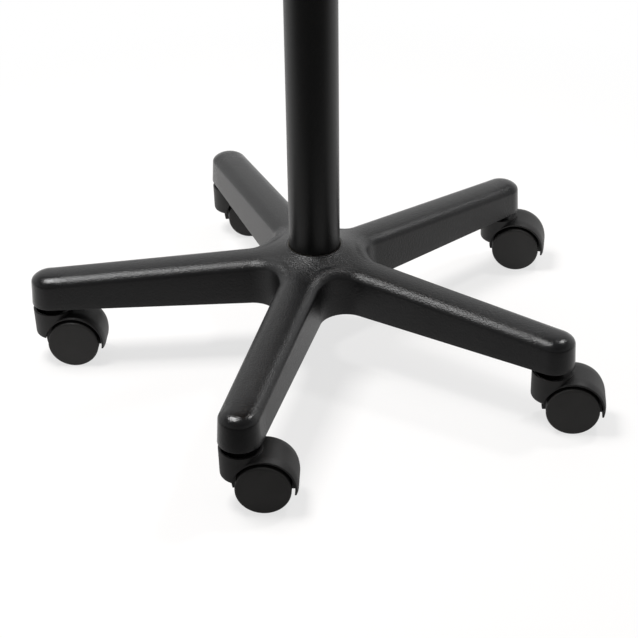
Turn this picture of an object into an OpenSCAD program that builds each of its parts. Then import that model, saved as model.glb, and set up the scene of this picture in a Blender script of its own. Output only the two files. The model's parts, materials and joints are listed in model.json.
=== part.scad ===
// Adjustable swivel stool: five-star nylon base on hooded twin-wheel casters, gas spring column and round seat.
// Millimetres. +Z is up. The origin is on the column's axis, at floor level.

/* [Arms and hub] */
// Radius of the circle on which the caster sockets lie
socket_circle_r = 261.6; // [240:1:320]
// Direction of the first arm, in degrees from +X
first_arm_angle = 183.3; // [0:0.1:360]
// Half the width of an arm at its tip
arm_tip_hw = 18.7; // [17:0.1:20]
// Half the width of an arm where it meets the hub
arm_root_hw = 20; // [19:0.1:22]
// Height of an arm over its caster socket, from the bottom rim to the crown
arm_tip_h = 32; // [28:0.1:40]
// Fall of the arms' tops towards the tips, in degrees
arm_slope = 3.4; // [2:0.1:6]
// Draft by which the arms' sides spread towards the bottom rim, in degrees
arm_draft = 4.5; // [1:0.5:6]
// Radius of the arms' shoulders
shoulder_r = 11; // [8:0.5:13]
// Radius of the crown across the arms' tops
crown_r = 80; // [60:1:200]
// Distance from the column's axis to the hollow curve between two arms
web_reach = 53; // [50:1:56]
// Wall thickness of the base moulding
moulding_wall = 3; // [2:0.1:4]
// Thickness of the ribs under the base
rib_t = 2.4; // [1.6:0.1:3.5]
// Spacing of the cross ribs along an arm
rib_pitch = 34; // [25:1:60]
// Depth at which the ribs lie above the bottom rim
rib_recess = 1.5; // [0.5:0.1:4]
// Width of the lip round the column
hub_lip_w = 3.2; // [2:0.1:5]
// Height of the lip over the hub's shoulders
hub_rise = 9.4; // [6:0.1:14]
// Thickness of the sleeve that grips the column
sleeve_wall = 5; // [4:0.1:8]
// Length of the sleeve below the bottom rim
sleeve_drop = 6.5; // [3:0.5:9]
// Radius of the bosses round the caster sockets
socket_boss_r = 10.5; // [9.5:0.1:12]
// Depth of a caster socket
socket_depth = 24; // [22:0.5:26]

/* [Casters] */
// Wheel diameter
wheel_d = 50; // [48:1:54]
// Width of one of the twin wheels
wheel_w = 13.7; // [12:0.1:18]
// Rounding of a wheel's outer edge
wheel_edge_r = 1.8; // [0.5:0.1:3]
// Thickness of a wheel's rim and face
wheel_wall = 3; // [2:0.1:4]
// Radius of a wheel's hub
wheel_hub_r = 6.5; // [5.5:0.1:8]
// Number of ribs inside a wheel
wheel_ribs = 8; // [4:1:12]
// Diameter of the axle
axle_d = 6; // [5:0.1:7]
// Distance from the stem's axis back to the axle
trail = 20; // [19:0.1:22]
// Clearance between the tread and the inside of the hood
hood_gap = 3; // [2:0.1:4]
// Wall thickness of the hood at its edges
hood_wall = 1.6; // [1.2:0.1:2.6]
// Height of the hood's crown over its edges
hood_crown = 1.4; // [0.5:0.1:2]
// Width over which the hood falls from its crown to each edge
hood_fall_w = 9.5; // [5:0.5:15]
// Width of the hood
hood_w = 39; // [37:0.1:42]
// Chamfer on the hood's edges
hood_chamfer = 0.4; // [0.2:0.1:0.8]
// Height of the hood's rear lip above the floor
hood_lip_z = 19.6; // [16:0.1:24]
// Width of the spine between the wheels
spine_w = 14.8; // [14:0.1:16]
// Wall thickness of the spine
spine_wall = 2.3; // [1.8:0.1:3]
// Radius of the collar round the stem
collar_r = 19.7; // [19:0.1:20.5]
// Amount by which the collar narrows towards its skirt
collar_taper = 0.4; // [0:0.1:1]
// Rounding of the collar's lower edge
collar_edge_r = 3.5; // [1:0.1:4]
// Wall thickness of the collar
collar_wall = 2.2; // [1.6:0.1:3]
// Height of the collar's skirt above the floor
collar_skirt_z = 28.6; // [28:0.1:32]
// Height of the collar's rim above the floor
collar_rim_z = 57.5; // [57:0.1:59]
// Gap between the collar's rim and the arm
collar_gap = 6.5; // [6:0.1:9]
// Radius of the boss that holds the stem
stem_boss_r = 8.2; // [7.6:0.1:9]

/* [Stems] */
// Diameter of the stem in the arm
stem_d = 11; // [10:0.1:11.4]
// Diameter of the stem in the caster
stem_foot_d = 9; // [8:0.1:9.4]
// Length of the stem in the arm
stem_l = 22; // [20:0.5:23]
// Diameter of the stem's flange
stem_flange_d = 17; // [15:0.1:18]
// Thickness of the stem's flange
stem_flange_t = 2.4; // [1.5:0.1:3]
// Distance from the flange up to the snap ring's groove
stem_groove_z = 14; // [10:0.5:16]
// Height of the snap ring's groove
stem_groove_h = 3.4; // [2:0.1:4]
// Depth of the snap ring's groove
stem_groove_t = 0.7; // [0.5:0.05:1]

/* [Column] */
// Outer diameter of the column
column_d = 50; // [48:0.5:52]
// Wall thickness of the column
column_wall = 1.5; // [1.2:0.1:2]
// Height of the column's top above the floor
column_top_z = 392; // [380:1:420]
// Radius lost over the tapered foot in the hub
column_taper = 0.8; // [0.4:0.1:1.2]
// Thickness of the plate that closes the foot
end_plate_t = 4; // [3:0.1:6]
// Length of the guide bush inside the column
bush_l = 80; // [60:1:90]
// Thickness of the bush's collar on top of the column
bush_collar_t = 2.5; // [1.5:0.1:4]

/* [Gas spring] */
// Travel of the seat
stroke = 200; // [160:5:205]
// Diameter of the cylinder that carries the seat
cylinder_d = 28; // [27:0.1:30]
// Wall thickness of the cylinder
cylinder_wall = 2.5; // [2:0.1:3]
// Length of the cylinder's tapered top
cone_l = 36; // [30:1:40]
// Radius lost over the tapered top
cone_taper = 0.9; // [0.5:0.05:1.2]
// Length of the plain cylinder that shows above the column's collar
cylinder_show = 9.5; // [6:0.5:15]
// Thickness of the rolled lips at the cylinder's ends
rolled_lip_t = 2; // [1.5:0.1:3]
// Diameter of the piston rod
rod_d = 10; // [9:0.1:11]
// Diameter of the rod's foot
rod_foot_d = 8; // [7:0.1:8.4]
// Length of the seal that closes the cylinder
seal_l = 16; // [10:1:20]
// Length of the piston
piston_l = 12; // [9:0.5:16]
// Distance from the seal to the piston with the seat raised
piston_margin = 20; // [10:1:25]
// Length of the valve plug
valve_l = 24; // [20:1:30]
// Diameter of the release pin
pin_d = 6; // [5:0.1:7]
// Height of the release pin above the cylinder
pin_show = 6; // [5:0.1:8]
// Thickness of a thrust washer
washer_t = 1.5; // [1:0.1:2]
// Outer diameter of the thrust bearing
bearing_d = 22; // [20:0.1:24]
// Diameter of the bearing's balls
ball_d = 3; // [2.8:0.1:3.2]
// Number of balls
ball_n = 12; // [8:1:13]
// Length of the rubber bump stop
bump_l = 16; // [10:1:20]
// Thickness of the retaining clip
clip_t = 1.2; // [0.8:0.1:1.6]

/* [Seat mechanism] */
// Length of the mounting plate
plate_l = 172; // [166:1:190]
// Width of the mounting plate
plate_w = 150; // [146:1:160]
// Distance between the fixing holes along the plate
hole_l = 140; // [134:1:144]
// Distance between the fixing holes across the plate
hole_w = 120; // [116:1:124]
// Thickness of the pressed steel
sheet_t = 2.5; // [2:0.1:3]
// Length of the pressed pan
pan_l = 112; // [108:1:118]
// Width of the pressed pan
pan_w = 72; // [60:1:90]
// Depth of the pressed pan
pan_h = 24; // [22:0.5:27]
// Corner radius of the pan and the plate
pan_corner_r = 12; // [8:0.5:16]
// Wall thickness of the taper socket
cone_socket_wall = 4.5; // [3:0.1:6]
// Distance from the column's axis to the lever's pivot
pivot_x = 43; // [40:0.5:46]
// Diameter of the lever's pivot pin
pivot_d = 4; // [3:0.1:4.4]
// Height of the lever's flat bar
lever_h = 8; // [7:0.1:9]
// Thickness of the lever's flat bar
lever_t = 4; // [3:0.1:5]
// Bend radius along the middle of the lever
lever_bend_r = 18; // [14:0.5:24]
// Angle of the lever's downward bend
lever_bend = 32; // [25:1:40]
// Length of the lever's sloping part
lever_slope_l = 16; // [12:0.5:20]
// Distance from the column's axis to the end of the handle
lever_reach = 176; // [170:1:182]
// Length of the handle
handle_l = 58; // [45:1:64]
// Width of the handle
handle_w = 24; // [20:0.5:30]
// Thickness of the handle
handle_t = 12.5; // [12:0.1:14]

/* [Seat] */
// Diameter of the seat
seat_d = 352; // [345:1:380]
// Thickness of the plywood board
board_t = 12; // [10:0.5:15]
// Distance from the seat's edge in to the board's edge
board_inset = 11; // [8:0.5:14]
// Thickness of the padding over the board
pad_t = 60; // [50:1:75]
// Rounding of the seat's top edge
pad_edge_r = 24; // [16:0.5:28]
// Rounding of the seat's bottom edge
pad_foot_r = 4; // [2:0.5:5]
// Diameter of the fixing screws
screw_d = 6; // [5:0.1:6.4]
// Diameter of the screws' heads
screw_head_d = 12; // [11:0.1:14]
// Height of the screws' heads
screw_head_h = 3.6; // [3:0.1:5]
// Diameter of a tee nut's flange
tee_flange_d = 18; // [16:0.1:20]
// Thickness of a tee nut's flange
tee_flange_t = 1.4; // [1:0.1:2]
// Diameter of a tee nut's barrel
tee_barrel_d = 9.6; // [9:0.1:11]

/* [Clearances] */
// Radial clearance of a running fit
run_gap = 0.05; // [0.02:0.01:0.08]
// Radial clearance of a piece that is pressed or pushed home
seat_gap = 0.03; // [0.01:0.01:0.05]
// Clearance between faces that pass each other
free_gap = 0.3; // [0.2:0.05:0.5]

/* [Hidden] */
arm_count = 5;
arm_pitch = 360 / arm_count;
// Directions in which the casters trail at rest, in degrees from +X, one for each arm
caster_trail_angles = [-1.8, -2.5, -6.6, -10, 7.5];

arc_steps = 7;
crown_steps = 3;
nylon_black = "#2b2b2c";
steel_black = "#1c1c1e";
wheel_grey = "#2c2b2a";
steel_grey = "#9a9ca0";
zinc_grey = "#b4b6b8";
rubber_black = "#1a1a1a";
acetal_white = "#d8d6cf";
plywood_tan = "#c49a6c";
vinyl_black = "#202022";

// Heights and radii of the casters
wheel_r = wheel_d / 2;
wheel_inner_y = spine_w / 2 + 2 * free_gap;
wheel_outer_y = wheel_inner_y + wheel_w;
axle_r = axle_d / 2;
axle_end_gap = 0.8;
axle_hw = wheel_outer_y - wheel_wall - axle_end_gap;
bay_r = wheel_r + hood_gap;
hood_r = bay_r + hood_wall + hood_crown;
arm_bottom_z = collar_rim_z + collar_gap;
stem_r = stem_d / 2;
stem_foot_r = stem_foot_d / 2;
flange_bottom_z = arm_bottom_z - stem_flange_t;
stem_boss_top_z = flange_bottom_z - free_gap;
stem_over_axle = 6;
stem_foot_z = wheel_r + axle_r + stem_over_axle;
stem_bore_end_gap = 0.5;

// Heights and radii of the base
arm_top_z = arm_bottom_z + arm_tip_h;
web_sine = sin(arm_pitch / 2);
web_r = (web_reach * web_sine - arm_root_hw) / (1 - web_sine);
web_centre_r = web_reach + web_r;
web_sweep = 180 - arm_pitch;
root_r = web_centre_r * cos(arm_pitch / 2);
arm_flare = atan((arm_root_hw - arm_tip_hw) / (socket_circle_r - root_r));
root_top_z = arm_top_z + (socket_circle_r - root_r) * tan(arm_slope);
shoulder_drop = crown_r - sqrt(pow(crown_r - shoulder_r, 2) - pow(arm_root_hw - shoulder_r, 2)) - shoulder_r;
hub_foot_z = root_top_z - shoulder_drop;
hub_foot_r = web_reach - shoulder_r;
hub_top_z = hub_foot_z + hub_rise;
column_r = column_d / 2;
hub_lip_r = column_r + hub_lip_w;
sleeve_bottom_z = arm_bottom_z - sleeve_drop;
sleeve_r = column_r + sleeve_wall;
cut_depth = 90;

// Heights and radii of the column and the gas spring
column_foot_z = sleeve_bottom_z - 1;
column_foot_r = column_r - column_taper;
column_bore_r = column_r - column_wall;
end_plate_r = column_foot_r - column_wall - seat_gap;
rod_r = rod_d / 2;
rod_foot_r = rod_foot_d / 2;
bearing_r = bearing_d / 2;
end_plate_top_z = column_foot_z + end_plate_t;
ball_track_z = end_plate_top_z + washer_t;
ball_track_r = (rod_r + bearing_r) / 2 + 0.4;
upper_washer_z = ball_track_z + ball_d + 2 * run_gap;
rod_shoulder_z = upper_washer_z + washer_t;
bump_top_z = rod_shoulder_z + bump_l;
clip_z = column_foot_z - free_gap - clip_t;
clip_groove_depth = 0.9;
cylinder_r = cylinder_d / 2;
cylinder_bore_r = cylinder_r - cylinder_wall;
cylinder_bottom_z = bump_top_z + 2 * free_gap;
collar_top_z = column_top_z + bush_collar_t;
cone_bottom_z = collar_top_z + cylinder_show;
cylinder_top_z = cone_bottom_z + cone_l;
cone_top_r = cylinder_r - cone_taper;
seal_top_z = cylinder_bottom_z + rolled_lip_t + seal_l;
piston_z = seal_top_z + stroke + piston_margin;
valve_z = cylinder_top_z - rolled_lip_t - valve_l;
pin_r = pin_d / 2;
pin_hidden_l = 14;
pin_bottom_z = cylinder_top_z - rolled_lip_t - pin_hidden_l;
pin_travel = 4;

// Heights and radii of the seat mechanism and the seat
pan_floor_z = cylinder_top_z - sheet_t;
board_z = pan_floor_z + pan_h;
cone_socket_r = cylinder_r + cone_socket_wall;
cone_socket_z = cone_bottom_z + 1.5;
lever_hh = lever_h / 2;
lever_z = cylinder_top_z + pin_show + lever_hh;
lever_bend_x = pan_l / 2 + 12;
lever_drop = 2 * lever_bend_r * (1 - cos(lever_bend)) + lever_slope_l * sin(lever_bend);
lever_low_x = lever_bend_x + 2 * lever_bend_r * sin(lever_bend) + lever_slope_l * cos(lever_bend);
lever_low_z = lever_z - lever_drop;
lever_inner_x = -pin_d / 2 - 2;
handle_skin = 8;
ear_t = 3;
ear_gap = 0.4;
seat_r = seat_d / 2;
board_r = seat_r - board_inset;
board_top_z = board_z + board_t;
seat_top_z = board_top_z + free_gap + pad_t;
seat_foot_z = board_z - 2;
screw_r = screw_d / 2;

assert(column_foot_z > 40, "the column's foot has to clear the floor");

// ---------- helpers ----------

function arm_angle(i) = first_arm_angle + arm_pitch * (i - 1);

// Points on an arc, with angles in degrees
function arc(cx, cy, r, from, to, steps) =
    [for (k = [0 : steps]) let (a = from + (to - from) * k / steps) [cx + r * cos(a), cy + r * sin(a)]];

// Height of the shoulder's centre below the crown's top, for a section of half width hw
function shoulder_cy(hw, sr, cr) = sqrt(pow(cr - sr, 2) - pow(hw - sr, 2)) - cr;

// Angle from the vertical at which the crown passes into the shoulder
function crown_lean(hw, sr, cr) = atan2(hw - sr, shoulder_cy(hw, sr, cr) + cr);

// Crown of a section, from its middle out to the shoulder
function crown_points(hw, sr, cr) =
    [for (k = [0 : crown_steps - 1]) let (a = crown_lean(hw, sr, cr) * k / crown_steps) [cr * sin(a), cr * cos(a) - cr]];

// Shoulder of a section, from the crown out to the drafted side
function shoulder_points(hw, sr, cr) =
    arc(hw - sr, shoulder_cy(hw, sr, cr), sr, 90 - crown_lean(hw, sr, cr), arm_draft, arc_steps);

// Half width of a section at a depth below the crown's top, on the drafted side
function side_hw(hw, sr, cr, depth) =
    hw - sr + sr * cos(arm_draft) + (depth + shoulder_cy(hw, sr, cr) + sr * sin(arm_draft)) * tan(arm_draft);

// Turned piece: a profile of [radius, height] points about the Z axis
module turned(profile) {
    rotate_extrude($fn = 96) polygon(profile);
}

module ring(outer_r, inner_r, h) {
    difference() {
        cylinder(r = outer_r, h = h, $fn = 96);
        translate([0, 0, -1]) cylinder(r = inner_r, h = h + 2, $fn = 96);
    }
}

// Rectangle with round corners, centred
module round_rectangle(l, w, r) {
    square([l - 2 * r, w], center = true);
    square([l, w - 2 * r], center = true);
    for (x = [-1, 1], y = [-1, 1]) {
        translate([x * (l / 2 - r), y * (w / 2 - r)]) circle(r = r, $fn = 48);
    }
}

// ---------- base ----------

module on_arm(i) {
    rotate([0, 0, arm_angle(i)]) translate([socket_circle_r, 0, arm_top_z]) rotate([0, arm_slope, 0]) children();
}

module on_socket(i) {
    rotate([0, 0, arm_angle(i)]) translate([socket_circle_r, 0, 0]) children();
}

// One side of an arm as a long bar: crown, shoulder and drafted side on +X, plain on -X
module arm_side_section(hw, sr, cr) {
    polygon(concat(
        [[-1.5 * hw, -cut_depth], [-1.5 * hw, 0]],
        crown_points(hw, sr, cr),
        shoulder_points(hw, sr, cr),
        [[side_hw(hw, sr, cr, cut_depth), -cut_depth]]
    ));
}

// Arm as a bar between two flared sides, from near_r to far_r, set in by inset on the sides and the top
module arm_bar(inset, near_r, far_r) {
    translate([0, 0, -inset]) intersection_for (side = [0, 1]) {
        mirror([0, side, 0]) rotate([0, 0, -arm_flare]) translate([near_r - socket_circle_r, 0, 0])
            rotate([90, 0, 90]) linear_extrude(far_r - near_r)
                arm_side_section(arm_tip_hw - inset, shoulder_r - inset, crown_r - inset);
    }
}

// Round nose of an arm, upright over its socket
module nose_form() {
    translate([0, 0, arm_top_z]) turned(concat(
        [[0, -cut_depth]],
        crown_points(arm_tip_hw, shoulder_r, crown_r),
        shoulder_points(arm_tip_hw, shoulder_r, crown_r),
        [[side_hw(arm_tip_hw, shoulder_r, crown_r, cut_depth), -cut_depth]]
    ));
}

// Inside of a nose, round the socket's boss
module nose_hollow() {
    hw = arm_tip_hw - moulding_wall;
    sr = shoulder_r - moulding_wall;
    cr = crown_r - moulding_wall;
    shoulder = [for (p = shoulder_points(hw, sr, cr)) if (p[0] > socket_boss_r + seat_gap) p];
    translate([0, 0, arm_top_z - moulding_wall]) turned(concat(
        [[socket_boss_r, -cut_depth], [socket_boss_r, shoulder[0][1]]],
        shoulder,
        [[side_hw(hw, sr, cr, cut_depth), -cut_depth]]
    ));
}

// Hollow curve between two arms, with the arms' own shoulder carried round it
module web_form() {
    shoulder = [for (p = shoulder_points(arm_root_hw, shoulder_r, crown_r)) [web_r + arm_root_hw - p[0], root_top_z + p[1]]];
    foot_hw = side_hw(arm_root_hw, shoulder_r, crown_r, root_top_z);
    web_depth = shoulder_r + 4;
    translate([web_centre_r, 0, 0]) rotate_extrude(angle = web_sweep, start = 180 - web_sweep / 2, $fn = 96)
        polygon(concat(
            [[web_r + web_depth, 0], [web_r + web_depth, hub_foot_z]],
            shoulder,
            [[web_r + arm_root_hw - foot_hw, 0]]
        ));
}

// Hub with a concave sweep from the shoulders up to the lip
module hub_form() {
    run = hub_foot_r - hub_lip_r;
    rise = hub_rise - 1;
    sweep_r = (run * run + rise * rise) / (2 * rise);
    sweep = asin(run / sweep_r);
    turned(concat(
        [[0, 0], [hub_foot_r, 0]],
        arc(hub_foot_r, hub_foot_z + sweep_r, sweep_r, 270, 270 - sweep, arc_steps),
        [[hub_lip_r - 0.8, hub_top_z], [0, hub_top_z]]
    ));
}

module base_outside() {
    difference() {
        union() {
            for (i = [1 : arm_count]) {
                on_arm(i) arm_bar(0, column_r, socket_circle_r);
                on_socket(i) nose_form();
                rotate([0, 0, arm_angle(i) + arm_pitch / 2]) web_form();
            }
            hub_form();
        }
        translate([-400, -400, arm_bottom_z - 200]) cube([800, 800, 200]);
    }
}

// Ribs that stand inside the hollow base
module base_ribs() {
    rib_z = arm_bottom_z + rib_recess;
    rib_h = hub_top_z - rib_z;
    rib_run = socket_circle_r - sleeve_r - socket_boss_r;
    cross_n = floor(rib_run / rib_pitch);
    cross_step = rib_run / (cross_n + 1);
    for (i = [1 : arm_count]) {
        rotate([0, 0, arm_angle(i)]) {
            translate([column_r, -rib_t / 2, rib_z]) cube([socket_circle_r - socket_boss_r - column_r, rib_t, rib_h]);
            for (k = [1 : cross_n]) {
                translate([sleeve_r + k * cross_step - rib_t / 2, -2 * arm_root_hw, rib_z])
                    cube([rib_t, 4 * arm_root_hw, rib_h]);
            }
        }
        rotate([0, 0, arm_angle(i) + arm_pitch / 2])
            translate([column_r, -rib_t / 2, rib_z]) cube([web_reach - column_r, rib_t, rib_h]);
    }
}

module base_hollow() {
    difference() {
        union() {
            for (i = [1 : arm_count]) {
                on_arm(i) arm_bar(moulding_wall, sleeve_r + sleeve_wall, socket_circle_r - socket_boss_r - rib_t / 2);
                on_socket(i) nose_hollow();
            }
            cylinder(r = web_reach - moulding_wall, h = hub_foot_z - shoulder_r, $fn = 96);
            cylinder(r = hub_foot_r, h = hub_foot_z - moulding_wall, $fn = 96);
        }
        base_ribs();
    }
}

module base_star() color(nylon_black) {
    bore_foot_r = column_foot_r + seat_gap;
    bore_top_r = column_r + seat_gap;
    sleeve_top_z = hub_foot_z - moulding_wall / 2;
    difference() {
        union() {
            difference() {
                base_outside();
                base_hollow();
            }
            translate([0, 0, sleeve_bottom_z]) cylinder(r = sleeve_r, h = sleeve_top_z - sleeve_bottom_z, $fn = 96);
        }
        turned([
            [0, column_foot_z], [bore_foot_r, column_foot_z], [bore_top_r, hub_top_z],
            [bore_top_r + 1.2, hub_top_z + 1.2], [0, hub_top_z + 1.2]
        ]);
        for (i = [1 : arm_count]) {
            on_socket(i) translate([0, 0, arm_bottom_z - 1]) cylinder(r = stem_r + 2 * run_gap, h = socket_depth + 1, $fn = 64);
        }
    }
}

// ---------- casters, with the stem's axis on Z and the trail along +X ----------

module place_caster(i) {
    on_socket(i) rotate([0, 0, caster_trail_angles[i - 1] - arm_angle(i)]) children();
}

// Round bar along Y about the wheels' axis
module across(r, w) {
    translate([trail, w / 2, wheel_r]) rotate([90, 0, 0]) cylinder(r = r, h = w, $fn = 96);
}

module caster_stem() color(steel_grey) {
    groove_z = arm_bottom_z + stem_groove_z;
    groove_r = stem_r - stem_groove_t;
    top_z = arm_bottom_z + stem_l;
    turned([
        [0, stem_foot_z], [stem_foot_r - 0.8, stem_foot_z], [stem_foot_r, stem_foot_z + 0.8],
        [stem_foot_r, flange_bottom_z], [stem_flange_d / 2, flange_bottom_z], [stem_flange_d / 2, arm_bottom_z],
        [stem_r, arm_bottom_z], [stem_r, groove_z], [groove_r, groove_z],
        [groove_r, groove_z + stem_groove_h], [stem_r, groove_z + stem_groove_h],
        [stem_r, top_z - 1.5], [stem_r - 1.5, top_z], [0, top_z]
    ]);
}

// Split spring ring that holds the stem in its socket
module grip_ring() color(zinc_grey) {
    ring_z = arm_bottom_z + stem_groove_z + free_gap;
    ring_h = stem_groove_h - 2 * free_gap;
    split_w = 1.6;
    difference() {
        translate([0, 0, ring_z]) ring(stem_r + run_gap, stem_r - stem_groove_t + seat_gap, ring_h);
        translate([0, -split_w / 2, ring_z - 1]) cube([stem_d, split_w, ring_h + 2]);
    }
}

// Crowned drum about the wheels' axis
module hood_drum() {
    hw = hood_w / 2;
    edge_r = hood_r - hood_crown;
    fall_r = (pow(hood_fall_w, 2) + pow(hood_crown, 2)) / (2 * hood_crown);
    fall = asin(hood_fall_w / fall_r);
    slope_w = hw - hood_chamfer - hood_fall_w;
    translate([trail, 0, wheel_r]) rotate([90, 0, 0]) turned(concat(
        [[0, -hw], [edge_r - hood_chamfer, -hw]],
        arc(hood_r - fall_r, -slope_w, fall_r, -fall, 0, arc_steps),
        arc(hood_r - fall_r, slope_w, fall_r, 0, fall, arc_steps),
        [[edge_r - hood_chamfer, hw], [0, hw]]
    ));
}

// Collar round the stem, closed and rounded at its skirt
module collar_form() {
    foot_r = collar_r - collar_taper;
    turned(concat(
        [[0, collar_skirt_z]],
        arc(foot_r - collar_edge_r, collar_skirt_z + collar_edge_r, collar_edge_r, -90, 0, arc_steps),
        [[collar_r, collar_rim_z], [0, collar_rim_z]]
    ));
}

// Hood over the wheels, no wider than the collar ahead of the stem, cut level at its rear lip
module hood_shell() {
    intersection() {
        hood_drum();
        union() {
            collar_form();
            translate([0, -cut_depth / 2, hood_lip_z]) cube([cut_depth, cut_depth, cut_depth]);
        }
    }
}

// Cup round the stem: a thin collar above the hood, open at the top
module collar_cup() {
    floor_z = collar_skirt_z + collar_wall;
    difference() {
        translate([0, 0, floor_z]) cylinder(r = collar_r - collar_wall, h = cut_depth, $fn = 96);
        across(hood_r, hood_w);
        cylinder(r = stem_boss_r, h = cut_depth, $fn = 64);
    }
}

module caster_hood() color(nylon_black) {
    axle_boss_r = axle_r + 3.5;
    bay_w = hood_w + 10;
    pocket_w = spine_w - 2 * spine_wall;
    difference() {
        union() {
            difference() {
                union() {
                    hood_shell();
                    collar_form();
                }
                collar_cup();
                across(bay_r, bay_w);
            }
            // spine between the wheels
            difference() {
                intersection() {
                    across(bay_r + hood_wall / 2, spine_w);
                    translate([-20, -50, wheel_r - axle_boss_r - 1]) cube([100, 100, 100]);
                }
                intersection() {
                    across(bay_r - spine_wall, pocket_w);
                    translate([stem_boss_r, -50, 0]) cube([100, 100, 100]);
                }
            }
            across(axle_boss_r, spine_w);
            intersection() {
                translate([0, 0, collar_skirt_z]) cylinder(r = stem_boss_r, h = stem_boss_top_z - collar_skirt_z, $fn = 64);
                union() {
                    translate([-20, -spine_w / 2, 0]) cube([60, spine_w, 100]);
                    difference() {
                        translate([-20, -20, collar_skirt_z]) cube([40, 40, 60]);
                        across(bay_r, bay_w);
                    }
                }
            }
        }
        translate([0, 0, stem_foot_z - stem_bore_end_gap]) cylinder(r = stem_foot_r + run_gap, h = 60, $fn = 64);
        across(axle_r + seat_gap, bay_w);
    }
}

module caster_axle() color(steel_grey) {
    end = 0.8;
    translate([trail, 0, wheel_r]) rotate([90, 0, 0]) turned([
        [0, -axle_hw], [axle_r - end, -axle_hw], [axle_r, -axle_hw + end],
        [axle_r, axle_hw - end], [axle_r - end, axle_hw], [0, axle_hw]
    ]);
}

// One wheel, on the +Y side: smooth face outwards, ribbed hollow inwards
module caster_wheel() {
    rim_r = wheel_r - wheel_wall;
    face_y = wheel_w - wheel_wall;
    rib_thickness = 1.8;
    translate([trail, wheel_inner_y, wheel_r]) rotate([-90, 0, 0]) difference() {
        turned(concat(
            [[0, 0], [wheel_r - 0.8, 0], [wheel_r, 0.8]],
            arc(wheel_r - wheel_edge_r, wheel_w - wheel_edge_r, wheel_edge_r, 0, 90, 5),
            [[0, wheel_w]]
        ));
        difference() {
            translate([0, 0, -1]) ring(rim_r, wheel_hub_r, face_y + 1);
            for (k = [0 : wheel_ribs - 1]) {
                rotate([0, 0, k * 360 / wheel_ribs])
                    translate([wheel_hub_r - 1, -rib_thickness / 2, 2]) cube([wheel_r - wheel_hub_r, rib_thickness, wheel_w]);
            }
        }
        translate([0, 0, -1]) cylinder(r = axle_r + run_gap, h = axle_hw - wheel_inner_y + 1 + free_gap, $fn = 64);
    }
}

module wheel_left() color(wheel_grey) caster_wheel();

module wheel_right() color(wheel_grey) mirror([0, 1, 0]) caster_wheel();

// ---------- column ----------

module column_tube() color(steel_black) {
    bore_foot_r = column_foot_r - column_wall;
    turned([
        [bore_foot_r, column_foot_z], [column_foot_r - 0.5, column_foot_z], [column_foot_r, column_foot_z + 0.5],
        [column_r, hub_top_z], [column_r, column_top_z - 0.5], [column_r - 0.5, column_top_z],
        [column_bore_r, column_top_z], [column_bore_r, hub_top_z]
    ]);
}

module column_end_plate() color(steel_black) {
    translate([0, 0, column_foot_z]) ring(end_plate_r, rod_foot_r + run_gap, end_plate_t);
}

// Long plastic bush that guides the cylinder, with a collar on the column's top
module guide_bush() color(rubber_black) {
    bore_r = cylinder_r + run_gap;
    outer_r = column_bore_r - seat_gap;
    turned([
        [bore_r, column_top_z - bush_l], [outer_r - 1, column_top_z - bush_l], [outer_r, column_top_z - bush_l + 1],
        [outer_r, column_top_z], [column_r - 0.3, column_top_z], [column_r - 0.3, collar_top_z - 1],
        [column_r - 1.3, collar_top_z], [bore_r + 1, collar_top_z], [bore_r, collar_top_z - 1]
    ]);
}

// ---------- gas spring ----------

module bearing_lower_washer() color(zinc_grey) {
    translate([0, 0, end_plate_top_z]) ring(bearing_r, rod_foot_r + run_gap, washer_t);
}

// Balls in a thin cage, between the two washers
module bearing_cage() color(zinc_grey) {
    ball_r = ball_d / 2;
    track_z = ball_track_z + run_gap + ball_r;
    cage_t = 1;
    difference() {
        translate([0, 0, track_z - cage_t / 2]) ring(bearing_r - 0.5, rod_foot_r + 0.6, cage_t);
        for (k = [0 : ball_n - 1]) {
            rotate([0, 0, k * 360 / ball_n]) translate([ball_track_r, 0, track_z]) sphere(r = ball_r + run_gap, $fn = 32);
        }
    }
    for (k = [0 : ball_n - 1]) {
        rotate([0, 0, k * 360 / ball_n]) translate([ball_track_r, 0, track_z]) sphere(r = ball_r, $fn = 32);
    }
}

module bearing_upper_washer() color(zinc_grey) {
    translate([0, 0, upper_washer_z]) ring(bearing_r, rod_foot_r + seat_gap, washer_t);
}

module bump_stop() color(rubber_black) {
    waist = 1.5;
    translate([0, 0, rod_shoulder_z]) turned([
        [rod_r + seat_gap, 0], [bearing_r, 0], [bearing_r, bump_l * 0.3], [bearing_r - waist, bump_l * 0.5],
        [bearing_r, bump_l * 0.7], [bearing_r - 1, bump_l], [rod_r + seat_gap, bump_l]
    ]);
}

module piston_rod() color(steel_grey) {
    groove_r = rod_foot_r - clip_groove_depth;
    groove_top_z = clip_z + clip_t + seat_gap;
    groove_bottom_z = clip_z - seat_gap;
    foot_z = clip_z - 2.5;
    neck_r = rod_r - 2;
    turned([
        [0, foot_z], [rod_foot_r - 0.6, foot_z], [rod_foot_r, foot_z + 0.6], [rod_foot_r, groove_bottom_z],
        [groove_r, groove_bottom_z], [groove_r, groove_top_z], [rod_foot_r, groove_top_z],
        [rod_foot_r, rod_shoulder_z], [rod_r, rod_shoulder_z], [rod_r, piston_z],
        [neck_r, piston_z], [neck_r, piston_z + piston_l + 2], [0, piston_z + piston_l + 2]
    ]);
}

// Sprung clip in the rod's groove, under the end plate
module retaining_clip() color(zinc_grey) {
    groove_r = rod_foot_r - clip_groove_depth;
    mouth_w = 1.5 * groove_r;
    difference() {
        translate([0, 0, clip_z]) ring(rod_foot_r + 3, groove_r + seat_gap, clip_t);
        translate([0, -mouth_w / 2, clip_z - 1]) cube([20, mouth_w, clip_t + 2]);
    }
}

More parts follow.
